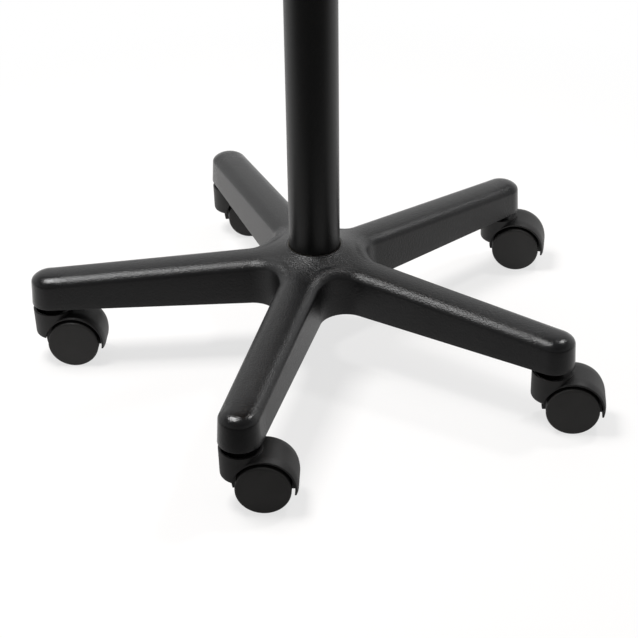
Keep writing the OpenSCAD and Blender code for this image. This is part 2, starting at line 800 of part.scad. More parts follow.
module piston() color(zinc_grey) {
    outer_r = cylinder_bore_r - 2 * run_gap;
    groove_r = outer_r - 1.6;
    groove_h = 2.4;
    mid = piston_l / 2;
    translate([0, 0, piston_z]) turned([
        [rod_r - 2 + seat_gap, 0], [outer_r - 0.5, 0], [outer_r, 0.5],
        [outer_r, mid - groove_h / 2], [groove_r, mid - groove_h / 2],
        [groove_r, mid + groove_h / 2], [outer_r, mid + groove_h / 2],
        [outer_r, piston_l - 0.5], [outer_r - 0.5, piston_l], [rod_r - 2 + seat_gap, piston_l]
    ]);
}

module piston_ring() color(rubber_black) {
    outer_r = cylinder_bore_r - run_gap;
    groove_h = 2.4;
    translate([0, 0, piston_z + piston_l / 2 - groove_h / 2 + seat_gap])
        ring(outer_r, cylinder_bore_r - 2 * run_gap - 1.6 + seat_gap, groove_h - 2 * seat_gap);
}

module lift_cylinder() color(steel_black) {
    foot_lip_r = rod_r + 2;
    head_lip_r = pin_r + 4;
    turned([
        [foot_lip_r, cylinder_bottom_z], [cylinder_r - 1.5, cylinder_bottom_z], [cylinder_r, cylinder_bottom_z + 1.5],
        [cylinder_r, cone_bottom_z], [cone_top_r, cylinder_top_z],
        [head_lip_r, cylinder_top_z], [head_lip_r, cylinder_top_z - rolled_lip_t],
        [cylinder_bore_r, cylinder_top_z - rolled_lip_t], [cylinder_bore_r, cylinder_bottom_z + rolled_lip_t],
        [foot_lip_r, cylinder_bottom_z + rolled_lip_t]
    ]);
}

module rod_seal() color(rubber_black) {
    translate([0, 0, cylinder_bottom_z + rolled_lip_t]) ring(cylinder_bore_r - seat_gap, rod_r + run_gap, seal_l);
}

module valve_plug() color(zinc_grey) {
    bore_bottom_z = pin_bottom_z - pin_travel - 1;
    difference() {
        translate([0, 0, valve_z]) cylinder(r = cylinder_bore_r - seat_gap, h = valve_l, $fn = 96);
        translate([0, 0, bore_bottom_z]) cylinder(r = pin_r + run_gap, h = valve_l, $fn = 64);
    }
}

module release_pin() color(steel_grey) {
    top_z = cylinder_top_z + pin_show - 0.1;
    turned([
        [0, pin_bottom_z], [pin_r, pin_bottom_z], [pin_r, top_z - 1], [pin_r - 1, top_z], [0, top_z]
    ]);
}

// ---------- seat mechanism ----------

module seat_holes(r, z, h) {
    for (x = [-1, 1], y = [-1, 1]) {
        translate([x * hole_l / 2, y * hole_w / 2, z]) cylinder(r = r, h = h, $fn = 48);
    }
}

// Pressed plate with a pan in its middle, the taper socket welded through it and two ears for the lever
module seat_plate() color(steel_black) {
    flange_z = board_z - sheet_t;
    ear_y = lever_t / 2 + ear_gap;
    ear_l = 14;
    slot_w = lever_t + 4;
    slot_z = lever_z - lever_hh - 0.1;
    difference() {
        union() {
            translate([0, 0, flange_z]) linear_extrude(sheet_t) difference() {
                round_rectangle(plate_l, plate_w, pan_corner_r);
                round_rectangle(pan_l - 2 * sheet_t, pan_w - 2 * sheet_t, pan_corner_r - sheet_t);
            }
            translate([0, 0, pan_floor_z]) difference() {
                linear_extrude(pan_h) round_rectangle(pan_l, pan_w, pan_corner_r);
                translate([0, 0, sheet_t])
                    linear_extrude(pan_h) round_rectangle(pan_l - 2 * sheet_t, pan_w - 2 * sheet_t, pan_corner_r - sheet_t);
            }
            translate([0, 0, cone_socket_z]) cylinder(r = cone_socket_r, h = cylinder_top_z - cone_socket_z, $fn = 96);
            for (side = [-1, 1]) {
                translate([pivot_x - ear_l / 2, side * (ear_y + ear_t / 2) - ear_t / 2, pan_floor_z])
                    cube([ear_l, ear_t, lever_z - pan_floor_z + ear_t]);
            }
        }
        turned([
            [0, cone_bottom_z], [cylinder_r + seat_gap, cone_bottom_z], [cone_top_r + seat_gap, cylinder_top_z],
            [cone_top_r + seat_gap, cylinder_top_z + 1], [0, cylinder_top_z + 1]
        ]);
        translate([pivot_x, 30, lever_z]) rotate([90, 0, 0]) cylinder(r = pivot_d / 2 + seat_gap, h = 60, $fn = 48);
        translate([pan_l / 2 - sheet_t - 1, -slot_w / 2, slot_z]) cube([sheet_t + 2, slot_w, lever_h + 2]);
        seat_holes(screw_r + 1, flange_z - 1, sheet_t + 2);
    }
}

module lever_pivot_pin() color(steel_grey) {
    pin_hw = lever_t / 2 + ear_gap + ear_t + 1;
    head_r = pivot_d / 2 + 1.2;
    translate([pivot_x, 0, lever_z]) rotate([90, 0, 0]) turned([
        [0, -pin_hw - 1], [head_r, -pin_hw - 1], [head_r, -pin_hw + 1], [pivot_d / 2, -pin_hw + 1],
        [pivot_d / 2, pin_hw - 0.5], [pivot_d / 2 - 0.5, pin_hw], [0, pin_hw]
    ]);
}

// Edge of the lever's bar, offset from its middle line: level, bent down, bent back and level again
function lever_edge(side) =
    let (d = side * lever_hh,
         upper_r = lever_bend_r + d,
         lower_r = lever_bend_r - d)
    concat(
        [[lever_inner_x, lever_z + d]],
        arc(lever_bend_x, lever_z - lever_bend_r, upper_r, 90, 90 - lever_bend, arc_steps),
        arc(lever_low_x, lever_low_z + lever_bend_r, lower_r, 270 - lever_bend, 270, arc_steps),
        [[lever_reach - handle_skin, lever_low_z + d]]
    );

// Bar cut from plate, standing on edge
module lever_bar() color(steel_black) {
    lower = lever_edge(-1);
    back = [for (k = [len(lower) - 1 : -1 : 0]) lower[k]];
    difference() {
        translate([0, lever_t / 2, 0]) rotate([90, 0, 0]) linear_extrude(lever_t) polygon(concat(lever_edge(1), back));
        translate([pivot_x, 30, lever_z]) rotate([90, 0, 0]) cylinder(r = pivot_d / 2 + run_gap, h = 60, $fn = 48);
    }
}

// Flat paddle with round edges on the end of the bar
module lever_handle() color(nylon_black) {
    edge = handle_t / 2;
    start_x = lever_reach - handle_l;
    translate([0, 0, lever_low_z]) difference() {
        union() {
            translate([start_x + edge, 0, 0]) rotate([0, 90, 0]) linear_extrude(handle_l - 2 * edge) {
                square([handle_t, handle_w - 2 * edge], center = true);
                for (side = [-1, 1]) {
                    translate([0, side * (handle_w / 2 - edge)]) circle(r = edge, $fn = 48);
                }
            }
            for (x = [start_x + edge, lever_reach - edge]) {
                translate([x, 0, 0]) {
                    rotate([90, 0, 0]) cylinder(r = edge, h = handle_w - 2 * edge, center = true, $fn = 48);
                    for (side = [-1, 1]) {
                        translate([0, side * (handle_w / 2 - edge), 0]) sphere(r = edge, $fn = 48);
                    }
                }
            }
        }
        translate([start_x - 5, -lever_t / 2 - seat_gap, -lever_hh - seat_gap])
            cube([handle_l - handle_skin + 5 + seat_gap, lever_t + 2 * seat_gap, lever_h + 2 * seat_gap]);
    }
}

// ---------- seat ----------

module seat_board() color(plywood_tan) {
    difference() {
        translate([0, 0, board_z]) cylinder(r = board_r, h = board_t, $fn = 128);
        seat_holes(tee_barrel_d / 2 + seat_gap, board_z - 1, board_t + 2);
        seat_holes(tee_flange_d / 2 + 0.2, board_top_z - tee_flange_t - 0.1, board_t);
    }
}

module seat_screws() color(zinc_grey) {
    head_top_z = board_z - sheet_t;
    head_r = screw_head_d / 2;
    for (x = [-1, 1], y = [-1, 1]) {
        translate([x * hole_l / 2, y * hole_w / 2, head_top_z]) turned([
            [0, -screw_head_h], [head_r - 2, -screw_head_h], [head_r, -screw_head_h + 2], [head_r, 0],
            [screw_r, 0], [screw_r, sheet_t + board_t - 3], [0, sheet_t + board_t - 3]
        ]);
    }
}

module tee_nuts() color(zinc_grey) {
    flange_z = board_top_z - tee_flange_t - 0.1;
    barrel_z = board_z + 1.5;
    for (x = [-1, 1], y = [-1, 1]) {
        translate([x * hole_l / 2, y * hole_w / 2, 0]) turned([
            [screw_r + seat_gap, barrel_z], [tee_barrel_d / 2, barrel_z], [tee_barrel_d / 2, flange_z],
            [tee_flange_d / 2, flange_z], [tee_flange_d / 2, flange_z + tee_flange_t],
            [screw_r + seat_gap, flange_z + tee_flange_t]
        ]);
    }
}

// Upholstered pad that wraps down over the board's edge
module seat_cushion() color(vinyl_black) {
    turned(concat(
        [[0, board_top_z + free_gap], [board_r + free_gap, board_top_z + free_gap], [board_r + free_gap, seat_foot_z]],
        arc(seat_r - pad_foot_r, seat_foot_z + pad_foot_r, pad_foot_r, -90, 0, 5),
        arc(seat_r - pad_edge_r, seat_top_z - pad_edge_r, pad_edge_r, 0, 90, 10),
        [[0, seat_top_z]]
    ));
}

// ---------- assembly ----------

base_star();
for (i = [1 : arm_count]) {
    place_caster(i) caster_stem();
    place_caster(i) grip_ring();
    place_caster(i) caster_hood();
    place_caster(i) caster_axle();
    place_caster(i) wheel_left();
    place_caster(i) wheel_right();
}
column_tube();
column_end_plate();
guide_bush();
bearing_lower_washer();
bearing_cage();
bearing_upper_washer();
bump_stop();
piston_rod();
retaining_clip();
piston();
piston_ring();
lift_cylinder();
rod_seal();
valve_plug();
release_pin();
seat_plate();
lever_pivot_pin();
lever_bar();
lever_handle();
seat_board();
seat_screws();
tee_nuts();
seat_cushion();
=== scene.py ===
import json
import math

import bmesh
import bpy
import numpy as np
from mathutils import Matrix, Vector

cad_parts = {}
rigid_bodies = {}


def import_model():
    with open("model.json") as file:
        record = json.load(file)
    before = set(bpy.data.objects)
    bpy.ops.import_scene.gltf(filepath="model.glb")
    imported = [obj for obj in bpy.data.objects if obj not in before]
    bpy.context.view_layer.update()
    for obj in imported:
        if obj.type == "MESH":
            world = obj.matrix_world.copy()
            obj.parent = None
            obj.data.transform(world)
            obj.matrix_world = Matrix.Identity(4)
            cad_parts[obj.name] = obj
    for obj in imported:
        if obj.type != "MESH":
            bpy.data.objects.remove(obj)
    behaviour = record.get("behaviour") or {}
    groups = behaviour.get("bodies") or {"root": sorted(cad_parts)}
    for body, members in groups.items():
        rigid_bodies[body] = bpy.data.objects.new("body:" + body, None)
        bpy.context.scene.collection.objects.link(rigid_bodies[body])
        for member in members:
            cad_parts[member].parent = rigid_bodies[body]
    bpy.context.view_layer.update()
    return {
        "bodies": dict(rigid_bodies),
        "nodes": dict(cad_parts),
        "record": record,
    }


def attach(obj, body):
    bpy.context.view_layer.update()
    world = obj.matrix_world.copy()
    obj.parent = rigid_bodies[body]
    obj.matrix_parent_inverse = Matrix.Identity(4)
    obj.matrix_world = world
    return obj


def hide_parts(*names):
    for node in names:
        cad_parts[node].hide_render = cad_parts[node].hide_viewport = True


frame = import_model()
nodes = frame["nodes"]
millimetre = 0.001


def linearColour(hexText):  # sRGB hex to the linear colour that a socket takes
    channels = [int(hexText[i:i + 2], 16) / 255 for i in (1, 3, 5)]
    return tuple(c / 12.92 if c <= 0.04045 else ((c + 0.055) / 1.055) ** 2.4 for c in channels) + (1.0,)


def addNode(tree, kind, inputs=None, **settings):  # an input takes a value or another node's output
    made = tree.nodes.new(kind)
    for name, value in settings.items():
        setattr(made, name, value)
    for name, value in (inputs or {}).items():
        if isinstance(value, bpy.types.NodeSocket):
            tree.links.new(value, made.inputs[name])
        else:
            made.inputs[name].default_value = value
    return made


def calculated(tree, operation, *values):  # result of one operation on numbers or other nodes' outputs
    return addNode(tree, "ShaderNodeMath", dict(enumerate(values)), operation=operation).outputs[0]


def mapped(tree, value, fromMin, fromMax, toMin, toMax):  # value carried from one range over to another
    inputs = {"Value": value, "From Min": fromMin, "From Max": fromMax, "To Min": toMin, "To Max": toMax}
    return addNode(tree, "ShaderNodeMapRange", inputs).outputs["Result"]


# Camera, lamps and floor

cameraPlace = {  # metres, degrees, and millimetres of focal length
    "position": (0.003416, -1.343858, 0.869922), "pitchDown": 32.066, "roll": -0.814,
    "lens": 88.113, "clipEnd": 50,
}
softboxes = {  # place, width and height in metres, power in watts
    "leftBox": ((-0.5, 0.05, 1.5), 0.5, 0.5, 22),
    "rightBox": ((0.85, 0.45, 1.5), 0.2, 0.2, 7),
}
lampAim = (0, 0, 0.12)  # metres
backdropLight = {  # shares of white, and the parts of a ray's direction between which they change
    "frontFrom": -0.9, "frontTo": 0.6, "frontLevel": 0.3,
    "ceilingFrom": 0.55, "ceilingTo": 0.7, "ceilingLevel": 0.4, "soft": 0.8,
}
floorPaint = {  # metres from the column's axis, and shares of white
    "half": 15, "frontFrom": -0.42, "frontTo": 0.1, "frontLevel": 0.12,
    "litTo": 0.45, "plainFrom": 0.9, "litShare": 0.3, "colour": "#f4f1ef",
}


def placeCamera():
    pitch, roll = math.radians(cameraPlace["pitchDown"]), math.radians(cameraPlace["roll"])
    ahead = Vector((0, math.cos(pitch), -math.sin(pitch)))
    right, up = Vector((1, 0, 0)), Vector((0, math.sin(pitch), math.cos(pitch)))
    across = math.cos(roll) * right + math.sin(roll) * up
    upright = math.cos(roll) * up - math.sin(roll) * right
    facing = Matrix((across, upright, -ahead)).transposed().to_4x4()
    camera = bpy.data.objects.new("camera", bpy.data.cameras.new("camera"))
    camera.data.lens = cameraPlace["lens"]
    camera.data.clip_end = cameraPlace["clipEnd"]
    camera.matrix_world = Matrix.Translation(cameraPlace["position"]) @ facing
    bpy.context.scene.collection.objects.link(camera)
    bpy.context.scene.camera = camera


def placeLamps():
    for name, (place, width, height, power) in softboxes.items():
        lamp = bpy.data.objects.new(name, bpy.data.lights.new(name, "AREA"))
        lamp.data.shape = "RECTANGLE"
        lamp.data.size, lamp.data.size_y = width, height
        lamp.data.energy = power
        lamp.location = place
        lamp.rotation_euler = (Vector(lampAim) - Vector(place)).to_track_quat("-Z", "Y").to_euler()
        bpy.context.scene.collection.objects.link(lamp)


def raysThatShow(tree):  # 1 for the rays by which the background is seen, straight or in a reflection
    path = addNode(tree, "ShaderNodeLightPath").outputs
    shown = calculated(tree, "MAXIMUM", path["Is Camera Ray"], path["Is Glossy Ray"])
    return calculated(tree, "MAXIMUM", shown, path["Is Transmission Ray"])


def hangBackdrop():  # white where it is seen straight; in reflections it dims in front and overhead
    light = backdropLight
    world = bpy.data.worlds.new("studio")
    bpy.context.scene.world = world
    world.use_nodes = True
    tree = world.node_tree
    direction = addNode(tree, "ShaderNodeTexCoord").outputs["Generated"]
    ray = addNode(tree, "ShaderNodeSeparateXYZ", {0: direction}).outputs
    front = mapped(tree, ray["Y"], light["frontFrom"], light["frontTo"], light["frontLevel"], 1.0)
    ceiling = mapped(tree, ray["Z"], light["ceilingFrom"], light["ceilingTo"], 1.0, light["ceilingLevel"])
    graded = calculated(tree, "MULTIPLY", front, ceiling)
    soft = calculated(tree, "MULTIPLY", graded, light["soft"])
    shown = calculated(tree, "MAXIMUM", graded, addNode(tree, "ShaderNodeLightPath").outputs["Is Camera Ray"])
    level = mapped(tree, raysThatShow(tree), 0.0, 1.0, soft, shown)
    background = tree.nodes["Background"]
    background.inputs["Color"].default_value = linearColour("#ffffff")
    tree.links.new(level, background.inputs["Strength"])


def layFloor():
    paint = floorPaint
    half = paint["half"]
    mesh = bpy.data.meshes.new("floor")
    corners = [(-half, -half, 0), (half, -half, 0), (half, half, 0), (-half, half, 0)]
    mesh.from_pydata(corners, [], [(0, 1, 2, 3)])
    floor = bpy.data.objects.new("floor", mesh)
    bpy.context.scene.collection.objects.link(floor)
    # matt white paint: shows as white, keeps a faint shadow near the stool,
    # and looks dark in front when it is reflected
    material = bpy.data.materials.new("paintedStudioFloor")
    material.use_nodes = True
    tree = material.node_tree
    tree.nodes.clear()
    matt = addNode(tree, "ShaderNodeBsdfDiffuse", {"Color": linearColour(paint["colour"])})
    place = addNode(tree, "ShaderNodeTexCoord").outputs["Object"]
    forward = addNode(tree, "ShaderNodeSeparateXYZ", {0: place}).outputs["Y"]
    front = mapped(tree, forward, paint["frontFrom"], paint["frontTo"], paint["frontLevel"], 1.0)
    level = calculated(tree, "MAXIMUM", front, addNode(tree, "ShaderNodeLightPath").outputs["Is Camera Ray"])
    white = addNode(tree, "ShaderNodeEmission", {"Color": linearColour("#ffffff"), "Strength": level})
    away = addNode(tree, "ShaderNodeVectorMath", {0: place}, operation="LENGTH").outputs["Value"]
    lit = mapped(tree, away, paint["litTo"], paint["plainFrom"], -paint["litShare"], 0.0)
    shine = calculated(tree, "MULTIPLY_ADD", level, lit, 1.0)
    share = mapped(tree, raysThatShow(tree), 0.0, 1.0, 0.0, shine)
    mixed = addNode(tree, "ShaderNodeMixShader", {0: share, 1: matt.outputs[0], 2: white.outputs[0]})
    addNode(tree, "ShaderNodeOutputMaterial", {"Surface": mixed.outputs[0]})
    mesh.materials.append(material)


bpy.context.scene.view_settings.view_transform = "Standard"
placeCamera()
placeLamps()
hangBackdrop()
layFloor()
print("camera, lamps and floor are placed")

# Finishes

mixColour = {"first": 6, "second": 7, "result": 2}  # places of the mix node's colour sockets
wanderBand = (0.3, 0.7)  # part of a texture's range over which a colour or roughness changes
noseWearAndLipHighlight = {  # metres from the column's axis and above the floor, and shares; the lip's colour is a painted highlight
    "noseFrom": 0.24, "noseTo": 0.27, "noseGrain": 0.5, "nosePolish": 0.09,
    "lipReach": 0.0263, "lipAbove": 0.11, "lipHighlightColour": "#6a665f",
}


def newFinish(name, colour, roughness, sockets=None):
    material = bpy.data.materials.new(name)
    material.use_nodes = True
    tree = material.node_tree
    shader = tree.nodes["Principled BSDF"]
    shader.inputs["Base Color"].default_value = linearColour(colour)
    shader.inputs["Roughness"].default_value = roughness
    for socket, value in (sockets or {}).items():
        shader.inputs[socket].default_value = value
    place = addNode(tree, "ShaderNodeTexCoord").outputs["Object"]
    return material, tree, shader, place


def cellSize(size):  # texture scale for a feature of that many millimetres
    return 1 / (size * millimetre)


def noise(tree, place, size, detail=2.0, roughness=0.5, distortion=0.0):  # spots of that many millimetres
    inputs = {
        "Vector": place, "Scale": cellSize(size), "Detail": detail,
        "Roughness": roughness, "Distortion": distortion,
    }
    return addNode(tree, "ShaderNodeTexNoise", inputs).outputs["Fac"]


def relief(tree, shader, height, depth, strength=1.0):  # bump of that many millimetres, over what is there
    inputs = {"Height": height, "Distance": depth * millimetre, "Strength": strength}
    if shader.inputs["Normal"].is_linked:
        inputs["Normal"] = shader.inputs["Normal"].links[0].from_socket
    bump = addNode(tree, "ShaderNodeBump", inputs)
    tree.links.new(bump.outputs["Normal"], shader.inputs["Normal"])


def tint(tree, shader, factor, dark, light):  # colour that wanders between two near shades
    ramp = addNode(tree, "ShaderNodeValToRGB", {"Fac": factor})
    for stop, position, colour in zip(ramp.color_ramp.elements, wanderBand, (dark, light)):
        stop.position = position
        stop.color = linearColour(colour)
    tree.links.new(ramp.outputs["Color"], shader.inputs["Base Color"])


def wander(tree, shader, factor, low, high):  # roughness that wanders
    tree.links.new(mapped(tree, factor, *wanderBand, low, high), shader.inputs["Roughness"])


def paintLipHighlight(tree, shader, place, reach, grainBreakup):  # pale ring painted on the lip's top round the bore: a painted highlight along its edge, broken up by the grain
    height = addNode(tree, "ShaderNodeSeparateXYZ", {0: place}).outputs["Z"]
    nearBore = calculated(tree, "LESS_THAN", reach, noseWearAndLipHighlight["lipReach"])
    onTop = calculated(tree, "GREATER_THAN", height, noseWearAndLipHighlight["lipAbove"])
    highlighted = calculated(tree, "MULTIPLY", calculated(tree, "MULTIPLY", nearBore, onTop), grainBreakup)
    inputs = {
        "Factor": highlighted,
        mixColour["first"]: shader.inputs["Base Color"].links[0].from_socket,
        mixColour["second"]: linearColour(noseWearAndLipHighlight["lipHighlightColour"]),
    }
    # mixes in the pale painted highlight on the lip's top round the bore
    highlightMix = addNode(tree, "ShaderNodeMix", inputs, data_type="RGBA")
    tree.links.new(highlightMix.outputs[mixColour["result"]], shader.inputs["Base Color"])


def leatherGrainNylon(name, dark, light, grain, depth, low, high, level):
    # glass-filled nylon, moulded in an etched tool: leather grain that sparkles where light grazes it,
    # rubbed smoother on the arms' noses, with a pale highlight painted on the lip round the bore
    material, tree, shader, place = newFinish(name, light, high, {"IOR": 1.53, "Specular IOR Level": level})
    grid = {"Vector": place, "Scale": cellSize(grain)}
    cells = addNode(tree, "ShaderNodeTexVoronoi", grid, feature="SMOOTH_F1").outputs["Distance"]
    fine = noise(tree, place, grain * 0.6, 3.0, 0.6)
    slow = noise(tree, place, 45)
    flat = addNode(tree, "ShaderNodeVectorMath", {0: place, 1: (1.0, 1.0, 0.0)}, operation="MULTIPLY")
    reach = addNode(tree, "ShaderNodeVectorMath", {0: flat.outputs[0]}, operation="LENGTH").outputs["Value"]
    grained = mapped(tree, reach, noseWearAndLipHighlight["noseFrom"], noseWearAndLipHighlight["noseTo"], 1.0, noseWearAndLipHighlight["noseGrain"])
    relief(tree, shader, fine, depth * 0.7, grained)
    relief(tree, shader, cells, depth, grained)
    tint(tree, shader, slow, dark, light)
    # paints a pale highlight on the lip round the bore
    paintLipHighlight(tree, shader, place, reach, fine)
    wander(tree, shader, fine, low, high)
    rough = shader.inputs["Roughness"].links[0].from_socket
    rubbed = mapped(tree, grained, noseWearAndLipHighlight["noseGrain"], 1.0, low - noseWearAndLipHighlight["nosePolish"], rough)
    tree.links.new(rubbed, shader.inputs["Roughness"])
    return material


def powderCoat(name, dark, light, low, high, level):
    # sprayed and baked polyester powder on steel: even, half gloss, with a shallow orange peel
    material, tree, shader, place = newFinish(name, light, high, {"IOR": 1.5, "Specular IOR Level": level})
    peel = noise(tree, place, 1.8)
    relief(tree, shader, peel, 0.02)
    tint(tree, shader, noise(tree, place, 30), dark, light)
    wander(tree, shader, peel, low, high)
    return material


def drawnSteel(name, colour, low, high, scratch):
    # ground or zinc-plated steel: bright, with fine lines round the bar
    material, tree, shader, place = newFinish(name, colour, high, {"Metallic": 1.0})
    lines = addNode(tree, "ShaderNodeMapping", {"Vector": place, "Scale": (1.0, 1.0, 12.0)}).outputs[0]
    relief(tree, shader, noise(tree, lines, scratch, 3.0), 0.02)
    wander(tree, shader, noise(tree, place, 12), low, high)
    return material


def mouldedPlastic(name, dark, light, grit, depth, low, high, level=0.4, edge=0.4):
    # plain injection moulding from a spark-eroded tool: a fine even matt grain, and edges never quite sharp
    material, tree, shader, place = newFinish(name, light, high, {"IOR": 1.5, "Specular IOR Level": level})
    grain = noise(tree, place, grit, 3.0, 0.65)
    broken = addNode(tree, "ShaderNodeBevel", {"Radius": edge * millimetre}, samples=6)
    tree.links.new(broken.outputs["Normal"], shader.inputs["Normal"])
    relief(tree, shader, grain, depth)
    tint(tree, shader, noise(tree, place, 18), dark, light)
    wander(tree, shader, grain, low, high)
    return material


def birchPlywood(name):
    # rotary-cut birch veneer under clear lacquer: pale, with long wavering grain and plies on the edge
    material, tree, shader, place = newFinish(name, "#c8a478", 0.5, {"IOR": 1.5, "Coat Weight": 0.15})
    stretched = addNode(tree, "ShaderNodeMapping", {"Vector": place, "Scale": (0.08, 1.0, 1.0)}).outputs[0]
    veins = noise(tree, stretched, 5, 5.0, distortion=0.6)
    plies = addNode(tree, "ShaderNodeTexWave", {"Vector": place, "Scale": cellSize(8.4)}, bands_direction="Z")
    tint(tree, shader, calculated(tree, "MULTIPLY", veins, plies.outputs["Fac"]), "#a57a4d", "#cfae84")
    relief(tree, shader, veins, 0.06)
    return material


def coatedFabric(name, dark, light):
    # vinyl skin on knitted cloth: soft pebble grain, a low sheen and creases that follow the pull
    material, tree, shader, place = newFinish(name, light, 0.5, {"IOR": 1.5, "Specular IOR Level": 0.45})
    grid = {"Vector": place, "Scale": cellSize(1.6)}
    pebbles = addNode(tree, "ShaderNodeTexVoronoi", grid, feature="DISTANCE_TO_EDGE").outputs["Distance"]
    fine = noise(tree, place, 0.7, 3.0)
    slow = noise(tree, place, 40, 3.0)
    relief(tree, shader, fine, 0.06)
    relief(tree, shader, mapped(tree, pebbles, 0.0, 0.12, 0.0, 1.0), 0.12)
    relief(tree, shader, slow, 1.2, 0.35)
    tint(tree, shader, slow, dark, light)
    wander(tree, shader, fine, 0.42, 0.55)
    return material


def polyesterThread(name, colour):
    # bonded polyester sewing thread: two plies twisted tight, with a silky sheen
    material, tree, shader, place = newFinish(name, colour, 0.45, {"IOR": 1.55, "Sheen Weight": 0.3})
    twist = noise(tree, place, 0.4)
    relief(tree, shader, twist, 0.08)
    wander(tree, shader, twist, 0.38, 0.55)
    return material


finishes = {
    "base_nylon": leatherGrainNylon("grainedGlassNylon", "#0a0a0b", "#0e0e0f", 1.4, 0.26, 0.28, 0.36, 0.34),
    "hood_nylon": mouldedPlastic("fineMattNylon", "#141313", "#181717", 0.9, 0.07, 0.45, 0.55, 0.35, 0.7),
    "wheel_nylon": mouldedPlastic("wheelNylon", "#1c1b1a", "#201f1e", 0.8, 0.06, 0.48, 0.58, 0.35, 2.2),
    "column_paint": powderCoat("blackPowderCoat", "#040404", "#060606", 0.34, 0.4, 0.36),
    "cylinder_paint": powderCoat("blackCylinderEnamel", "#0a0a0b", "#0f0f10", 0.22, 0.28, 0.45),
    "pressed_steel": powderCoat("blackDippedSteel", "#121213", "#1a1a1c", 0.4, 0.5, 0.4),
    "bright_steel": drawnSteel("groundSteel", "#c9cbce", 0.18, 0.3, 1.2),
    "zinc_steel": drawnSteel("zincPlatedSteel", "#b9bcc0", 0.3, 0.45, 1.0),
    "bush_acetal": mouldedPlastic("blackAcetal", "#121212", "#181818", 0.7, 0.03, 0.35, 0.45),
    "seal_rubber": mouldedPlastic("nitrileRubber", "#0f0f0f", "#171716", 0.8, 0.06, 0.6, 0.75, 0.3),
    "board_plywood": birchPlywood("lacqueredBirchPly"),
    "seat_vinyl": coatedFabric("blackUpholsteryVinyl", "#121213", "#18181a"),
    "seat_thread": polyesterThread("blackBondedThread", "#1b1b1d"),
    "handle_plastic": mouldedPlastic("blackHandleNylon", "#141415", "#1a1a1b", 0.9, 0.06, 0.4, 0.55),
}
cadSlots = {part["node"]: part["material_slot"] for part in frame["record"]["subparts"]}
for name, item in nodes.items():
    item.data.materials.clear()
    item.data.materials.append(finishes[cadSlots[name]])
print("finishes are made:", len(finishes))

# Meshes


def placedMesh(name, mesh):
    piece = bpy.data.objects.new(name, mesh)
    bpy.context.scene.collection.objects.link(piece)
    return piece


def newPiece(name, points, faces, finish):  # points in millimetres
    mesh = bpy.data.meshes.new(name)
    mesh.from_pydata([tuple(c * millimetre for c in p) for p in points], [], faces)
    mesh.materials.append(finishes[finish])
    return placedMesh(name, mesh)


def closeUp(mesh, merge=0.005):  # merges doubles and turns every face outwards
    work = bmesh.new()
    work.from_mesh(mesh)
    bmesh.ops.remove_doubles(work, verts=work.verts, dist=merge * millimetre)
    bmesh.ops.dissolve_degenerate(work, edges=work.edges, dist=merge * millimetre)
    bmesh.ops.recalc_face_normals(work, faces=work.faces)
    work.to_mesh(mesh)
    work.free()


def keep(piece, body, replaced=None):  # hands a finished piece to the frame
    if replaced:
        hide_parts(replaced)
    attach(piece, body)


def shade(mesh, angle=35):
    mesh.shade_smooth()
    mesh.set_sharp_from_angle(angle=math.radians(angle))


def loftFaces(steps, across, closed=True):  # quads between outlines set one after another round an axis
    faces = []
    for k in range(steps):
        here, after = k * across, ((k + 1) % steps) * across
        for j in range(across if closed else across - 1):
            beside = (j + 1) % across
            faces.append((here + j, after + j, after + beside, here + beside))
    return faces


def turned(profile, steps, centre=(0, 0)):  # solid of revolution from a closed or axis-ended profile
    points = []
    for k in range(steps):
        a = 2 * math.pi * k / steps
        points += [(centre[0] + r * math.cos(a), centre[1] + r * math.sin(a), z) for r, z in profile]
    onAxis = profile[0][0] == 0 and profile[-1][0] == 0
    return points, loftFaces(steps, len(profile), not onAxis)


def joined(parts):
    points, faces = [], []
    for somePoints, someFaces in parts:
        faces += [tuple(i + len(points) for i in face) for face in someFaces]
        points += somePoints
    return points, faces


def plate(ring, step):  # closed plate from a ring of points and the step to its other face
    n = len(ring)
    points = list(ring) + [(p[0] + step[0], p[1] + step[1], p[2] + step[2]) for p in ring]
    faces = [tuple(range(n)), tuple(range(2 * n - 1, n - 1, -1))]
    faces += [(k, (k + 1) % n, n + (k + 1) % n, n + k) for k in range(n)]
    return points, faces


ringInputs = {
    "Count": "Int", "First angle": "Float", "Radius": "Float", "Height": "Float",
    "Jitter": "Float", "Weld": "Float", "Seed": "Int",
}


